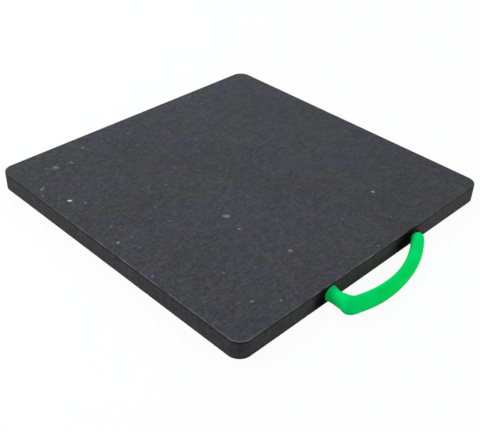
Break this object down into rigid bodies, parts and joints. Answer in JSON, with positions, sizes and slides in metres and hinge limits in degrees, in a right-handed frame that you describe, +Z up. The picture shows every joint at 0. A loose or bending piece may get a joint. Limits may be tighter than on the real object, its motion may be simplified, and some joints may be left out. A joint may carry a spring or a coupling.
{
  "type": "crane outrigger pad",
  "caption": "Flat square recycled-plastic pad with rounded corners that spreads an outrigger's load on soft ground, with a hose-sleeved rope carry handle on one edge.",
  "frame": {"origin": "middle of the pad's underside, which is the face that lies on the ground", "axes": "+Z up through the pad, +X towards the edge that carries the handle, +Y along that edge"},
  "size_m": [0.5068, 0.4572, 0.0265],
  "materials": {
    "pad_plastic": "dull black recycled polyethylene with pale flecks",
    "sleeve_hose": "matte bright green hose",
    "handle_rope": "dark braided polypropylene"
  },
  "bodies": {
    "root": {"pad": "pad_plastic", "handle_sleeve": "sleeve_hose", "handle_rope": "handle_rope"}
  },
  "joints": []
}
